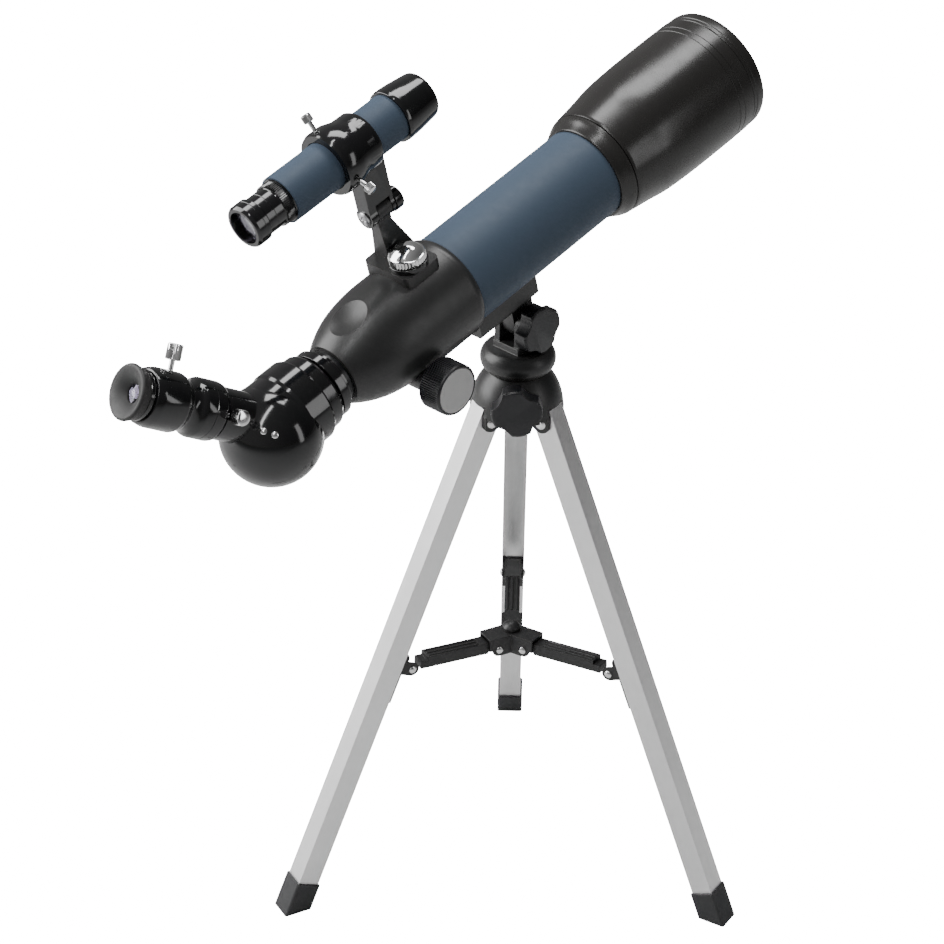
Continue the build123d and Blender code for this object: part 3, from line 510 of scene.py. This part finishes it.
# ---- turned and fluted pieces ----
TUBE_SEAT = 28.12    # bore of whatever sits on the blue tube, in millimetres
TURN_BACK = Matrix.Rotation(pi, 4, "X")
TO_Y = Matrix.Rotation(-pi / 2, 4, "X")
TO_MINUS_Y = Matrix.Rotation(pi / 2, 4, "X")


def groove(radius, station, depth=0.3, half_width=0.35):
    """A shallow line turned into an outside surface, low end first."""
    return [(radius, station - half_width), (radius - depth, station - half_width * 0.4),
            (radius - depth, station + half_width * 0.4), (radius, station + half_width)]


def dew_hood():
    """Flared hood with two fine lines turned behind its rim."""
    outside = [(TUBE_SEAT, 63.9), (33.3, 63.9)]
    outside += curve_run([(33.6, 64.3), (35.6, 80), (37.6, 94), (38.6, 115), (38.85, 140)])
    outside += groove(38.86, 150.0) + groove(38.8, 154.5) + [(38.7, 162.7), (38.4, 163.0)]
    inside = [(36.7, 163.0)] + curve_run([(36.2, 112), (33.4, 98), (31.3, 90)], 4)
    inside += [(31.3, 72), (TUBE_SEAT, 72)]
    piece("dew_hood", turned(outside + inside), TUBE, "telescope", HOOD_BLACK, ("dew_shield",), smooth=30)


def hood_rim():
    """Rounded rim on the hood's mouth, with one fine line turned round it."""
    outline = [(35.0, 158.0), (36.5, 158.0), (36.5, 163.4), (38.2, 163.4), (38.5, 163.8), (38.45, 165.2),
               (38.1, 165.6), (38.1, 166.1), (38.45, 166.5)]
    outline += curve_run([(38.3, 170.8), (37.8, 172.4), (36.8, 173.3), (35.9, 173.6)], 4)
    outline += [(35.2, 173.4), (35.0, 172.9)]
    piece("hood_rim", turned(outline), TUBE, "telescope", HOOD_BLACK, ("dew_front_ring",), smooth=30)


def hood_collar():
    """Flared ring between the blue tube and the hood."""
    outline = [(TUBE_SEAT, 54.0), (29.3, 54.0)]
    outline += curve_run([(29.6, 54.3), (31.0, 57.5), (32.6, 60.6), (33.4, 63.0)], 5)
    outline += [(33.1, 63.4), (TUBE_SEAT, 63.4)]
    piece("hood_collar", turned(outline), TUBE, "telescope", HOOD_BLACK, ("dew_ring",), smooth=30)


def focus_knob_pair():
    """Two finely toothed knobs, each with a recess for its disc."""
    knobs = []
    for turn in (Matrix.Identity(4), TURN_BACK):
        knob = turned([(0, 44.2), (2.52, 44.2), (2.52, 30.9), (13.9, 30.9), (15.0, 31.9), (15.0, 44.4),
                       (14.9, 45.4), (14.5, 46.2), (13.9, 46.6), (13.5, 46.5), (13.3, 46.1), (13.3, 45.6),
                       (0, 45.6)])
        flute(knob, 15.0, 31.9, 44.4, 0.42, ROUND)
        knobs.append((knob, turn))
    piece("focus_grips", joined(*knobs), PINION, "focus_shaft", KNOB_BLACK, ("focus_knobs",), smooth=22)


def knob_inlays():
    """Grey discs let into the outer ends of the focus knobs, very slightly crowned."""
    discs = []
    for turn in (Matrix.Identity(4), TURN_BACK):
        edge = [(0, 45.62), (13.2, 45.62), (13.2, 46.3), (12.9, 46.62)]
        discs.append((turned(edge + dome_run(12.6, 46.7, 0.2)), turn))
    piece("knob_inlays", joined(*discs), PINION, "focus_shaft", DISC_GREY, ("knob_discs",), smooth=30)


def domed_nut():
    """Bright nut on the finder's foot: a toothed skirt under a dome."""
    stud_and_skirt = [(0, 28), (3.0, 28), (3.0, 37.7), (9.9, 37.7), (10.6, 38.2), (10.6, 41.4), (10.1, 42.0),
                      (9.3, 42.3)]
    nut = turned(stud_and_skirt + dome_run(9.1, 42.5, 4.6, 9), SMALL_ROUND)
    flute(nut, 10.6, 38.2, 41.4, 0.7, SMALL_ROUND)
    piece("domed_nut", nut, NUT, "finder_fixing", CHROME, ("finder_nut",), smooth=26)


def thumb_screw(node, place, tip, collar, end, shank, head):
    """A bright screw with a toothed head, drawn along the place's z."""
    outline = [(0, tip), (shank - 0.3, tip), (shank, tip + 0.3), (shank, collar), (head * 0.62, collar),
               (head - 0.35, collar + 0.2), (head, collar + 0.7), (head, end - 0.9), (head - 0.4, end - 0.3)]
    screw = turned(outline + dome_run(head - 0.8, end - 0.15, 0.15, 3), SMALL_ROUND)
    flute(screw, head, collar + 0.7, end - 0.9, head * 0.09, SMALL_ROUND)
    piece(node + "_bright", screw, place, NODE_BODY[node], CHROME, (node,), smooth=26)


def rivets():
    """Bright rivet heads on the ears of the brackets and of the spreader's hub."""
    for side in SIDES:
        outer_pin = shifted(leg_place(side), -14.5, 0, -166.4)
        pins = ((f"leg_{side}", f"bracket_rivets_{side}", outer_pin),
                ("spreader", f"hub_rivets_{side}", arm_place(side)))
        for body, name, pin in pins:
            heads = []
            for turn, reach in ((TO_Y, 6.72), (TO_MINUS_Y, -6.72)):
                edge = [(0, 0), (2.3, 0), (2.45, 0.2), (2.4, 0.5)]
                head = turned(edge + dome_run(2.3, 0.6, 0.85, 6), SMALL_ROUND)
                heads.append((head, Matrix.Translation((0, reach, 0)) @ turn))
            piece(name, joined(*heads), pin, body, CHROME, smooth=40)


def finder_ocular():
    """Focusing eyepiece of the finder, with its toothed ring and two fine lines."""
    outline = [(9.4, -180.0), (11.2, -180.0), (11.8, -179.5), (12.4, -178.4)] + groove(12.4, -174.0, 0.25)
    outline += [(12.4, -171.4), (12.1, -171.0), (11.1, -170.2)] + groove(11.1, -165.0, 0.25)
    outline += [(11.1, -159.4), (11.4, -158.9), (12.2, -158.6), (12.2, -153.4), (12.0, -153.0),
                (12.74, -152.6), (12.74, -140.0), (9.4, -140.0)]
    ocular = turned(outline)
    flute(ocular, 12.2, -158.6, -153.4, 0.35, ROUND)
    piece("finder_ocular", ocular, FINDER, "finder_focus", GLOSS_BLACK, ("finder_eyepiece",), smooth=24)


def finder_hood():
    """Flared cell on the front of the finder, rounded over at its mouth."""
    outline = [(13.82, -69.0), (15.2, -69.0), (15.4, -68.8)]
    outline += curve_run([(15.7, -67), (15.5, -62), (15.1, -57), (13.9, -46.6)], 6)
    outline += curve_run([(13.6, -45.4), (13.0, -44.7), (12.3, -44.5)], 3)
    outline += [(11.8, -44.7), (11.6, -45.2), (11.6, -59.5), (13.82, -59.5)]
    piece("finder_hood", turned(outline), FINDER, "finder", GLOSS_BLACK, ("finder_objective_cell",),
          smooth=30)


def eyepiece_shoulder():
    """Black shoulder over the top of the bright barrel, above a thin bright line."""
    trim = turned([(13.22, 87.7), (13.7, 87.7), (14.0, 88.0), (14.0, 89.6), (13.7, 89.9), (13.22, 89.9)])
    piece("eyepiece_shoulder", trim, EXIT, "eyepiece", GLOSS_BLACK, smooth=30)


def angled_tube():
    """Collared tube from the diagonal to the eyepiece, bored for its clamp screw."""
    outline = [(12.31, 42.0), (11.4, 42.0), (11.4, 16.0), (12.9, 16.0), (12.9, 39.8), (15.4, 39.8),
               (15.7, 40.1), (16.2, 41.8), (16.3, 42.4)]
    outline += groove(16.3, 48.0, 0.25) + [(16.3, 53.4), (16.1, 54.2)]
    outline += curve_run([(15.3, 55.8), (14.4, 57.2), (13.9, 59.0), (13.8, 61.0), (14.2, 62.8), (15.4, 64.6),
                          (16.1, 66.4)], 3)
    outline += [(16.2, 67.0), (16.2, 81.2)] + curve_run([(16.0, 82.6), (15.4, 84.9), (15.0, 86.1)], 3)
    outline += [(14.6, 86.4), (12.31, 86.4)]
    tube = piece("angled_tube", turned(outline), EXIT, "diagonal", GLOSS_BLACK, ("eyepiece_tube",), smooth=30)
    drill = turned([(0, 8), (1.56, 8), (1.56, 20), (0, 20)], 24)
    cut(tube, in_place(drill, shifted(EXIT, 0, 0, eye_lock_rise) @ TO_Y))


dew_hood()
hood_rim()
hood_collar()
focus_knob_pair()
knob_inlays()
domed_nut()
thumb_screw("eyepiece_lock_screw", shifted(EXIT, 0, 0, eye_lock_rise) @ TO_Y, 12.9, 21.5, 30.5, 1.5, 4.3)
side_lock = joint_point("diagonal_lock_turn") - exit_side * 18 * MM
thumb_screw("diagonal_lock_screw", axes_at(side_lock, exit_side, exit_way), 13.2, 16.8, 24.5, 1.5, 4.3)
for number in (1, 2, 3):
    thumb_screw(f"finder_screw_{number}", adjuster_place(number), 14.1, 23.4, 28.4, 1.3, 2.9)
rivets()
finder_ocular()
finder_hood()
eyepiece_shoulder()
angled_tube()

# ---- moulded and extruded pieces with their edges eased ----
EASED_EDGES = {
    "tilt_knob": 0.8, "pan_lock_knob": 0.8, "saddle": 0.6, "pan_head": 0.5, "finder_post": 0.5,
    "finder_bracket": 0.35, "hinge_knob": 0.3, "drawtube_collar": 0.35, "spreader_hub": 0.3,
    "finder_nut_collar": 0.4,
}
for node, width in EASED_EDGES.items():
    softened(node, width)
for side in SIDES:
    softened(f"leg_{side}", 0.5, 3)
    softened(f"foot_{side}", 0.5)
    softened(f"leg_bracket_{side}", 0.25)
    softened(f"spreader_arm_{side}", 0.3)

# ---- camera, light and floor ----
camera_data = bpy.data.cameras.new("camera")
camera_data.lens = 118.7
camera_data.sensor_width = 36
camera_data.shift_x = -0.0439
camera_data.shift_y = 0.0784
camera_data.clip_end = 200
camera = bpy.data.objects.new("camera", camera_data)
bpy.context.scene.collection.objects.link(camera)
bpy.context.scene.camera = camera
VIEW_AZIMUTH, VIEW_ELEVATION, VIEW_DISTANCE, VIEW_ROLL = radians(42.5), radians(31.42), 1.8806, radians(1.371)
TARGET_HEIGHT = 0.21875
target = Vector((tripod_axis.x, tripod_axis.y, TARGET_HEIGHT))
towards_camera = Vector((sin(VIEW_AZIMUTH) * cos(VIEW_ELEVATION), -cos(VIEW_AZIMUTH) * cos(VIEW_ELEVATION),
                         sin(VIEW_ELEVATION)))
look = (-towards_camera).to_track_quat("-Z", "Y") @ Quaternion((0, 0, 1), VIEW_ROLL)
camera.matrix_world = Matrix.Translation(target + towards_camera * VIEW_DISTANCE) @ look.to_matrix().to_4x4()

camera_right = Vector((cos(VIEW_AZIMUTH), sin(VIEW_AZIMUTH), 0))
camera_front = Vector((sin(VIEW_AZIMUTH), -cos(VIEW_AZIMUTH), 0))


def softbox(name, right, front, up, size, power):
    """An area lamp, placed from the tripod in the camera's own right and front directions."""
    lamp = bpy.data.lights.new(name, "AREA")
    lamp.shape = "RECTANGLE"
    lamp.size, lamp.size_y = size
    lamp.energy = power
    holder = bpy.data.objects.new(name, lamp)
    bpy.context.scene.collection.objects.link(holder)
    spot = target + camera_right * right + camera_front * front + Vector((0, 0, up))
    aim = (target - spot).to_track_quat("-Z", "Y").to_matrix().to_4x4()
    holder.matrix_world = Matrix.Translation(spot) @ aim


softbox("left_light", -1.9, -0.1, 1.0, (1.5, 1.9), 72)
softbox("streak_light", -0.5, 0.9, 2.1, (0.16, 2.2), 20)
softbox("top_light", 0.1, -0.7, 2.1, (1.3, 0.7), 30)
softbox("right_light", 1.9, 0.8, 0.7, (0.4, 1.3), 5)

world = bpy.data.worlds.new("studio")
world.use_nodes = True
sky = world.node_tree
sky_way = sky.nodes.new("ShaderNodeVectorMath")
sky_way.operation = "DOT_PRODUCT"
sky_way.inputs[1].default_value = Vector((0, 0, 0.35)) - camera_right
sky.links.new(sky.nodes.new("ShaderNodeTexCoord").outputs["Generated"], sky_way.inputs[0])
sky_light = math_node(sky, "MULTIPLY_ADD", sky_way.outputs["Value"], 0.17)
sky_light.node.inputs[2].default_value = 0.22
sky_light = math_node(sky, "MAXIMUM", sky_light, 0.05)
sky.links.new(sky_light, sky.nodes["Background"].inputs["Strength"])
sky.nodes["Background"].inputs["Color"].default_value = (1.0, 1.0, 1.0, 1)
bpy.context.scene.world = world


def white_floor():
    """Pale floor that looks brighter straight to the camera than the light it gives the object."""
    recipe = Recipe("floor_white")
    mottle = recipe.effect(MOTTLE, Colour=(0.58, 0.58, 0.58, 1), Drift=0.01, Roughness=0.7, Gloss_Drift=0.02)
    recipe.feed(mottle.outputs["Colour"], "Base Color")
    recipe.feed(mottle.outputs["Roughness"], "Roughness")
    path = recipe.tree.nodes.new("ShaderNodeLightPath")
    glow = math_node(recipe.tree, "MULTIPLY", path.outputs["Is Camera Ray"], 18.0)
    recipe.shader.inputs["Emission Color"].default_value = (1, 1, 1, 1)
    recipe.feed(glow, "Emission Strength")
    return recipe.material


floor_bm = bmesh.new()
bmesh.ops.create_grid(floor_bm, x_segments=8, y_segments=8, size=60.0)
floor_mesh = bpy.data.meshes.new("floor")
floor_bm.to_mesh(floor_mesh)
floor_bm.free()
floor_mesh.materials.append(white_floor())
floor = bpy.data.objects.new("floor", floor_mesh)
bpy.context.scene.collection.objects.link(floor)
